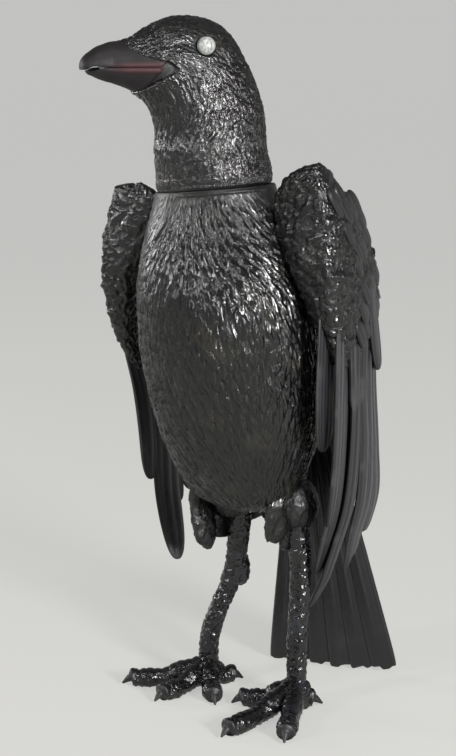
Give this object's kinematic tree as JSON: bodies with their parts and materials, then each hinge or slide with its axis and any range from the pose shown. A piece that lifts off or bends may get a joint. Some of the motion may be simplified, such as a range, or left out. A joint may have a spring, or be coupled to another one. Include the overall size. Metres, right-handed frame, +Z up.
{
  "type": "raven prop",
  "caption": "Life-size standing raven figure, cast and painted gloss black, wings held a little off its sides, tail hanging to the ground.",
  "frame": {"origin": "middle of the footprint box, on the surface that the soles stand on", "axes": "+Z up, the breast faces -Y, the bird's left side is +X"},
  "size_m": [0.2152, 0.2288, 0.519],
  "materials": {
    "gloss_black": "glossy black paint over a feathered casting",
    "satin_black": "satin black paint, worn greyer on the raised ribs",
    "pearl": "pale pearl bead"
  },
  "bodies": {
    "root": {"body": "gloss_black", "head": "gloss_black", "wing_left": "satin_black", "wing_right": "satin_black", "tail": "satin_black", "leg_left": "gloss_black", "leg_right": "gloss_black", "eye_left": "pearl", "eye_right": "pearl"}
  },
  "joints": []
}
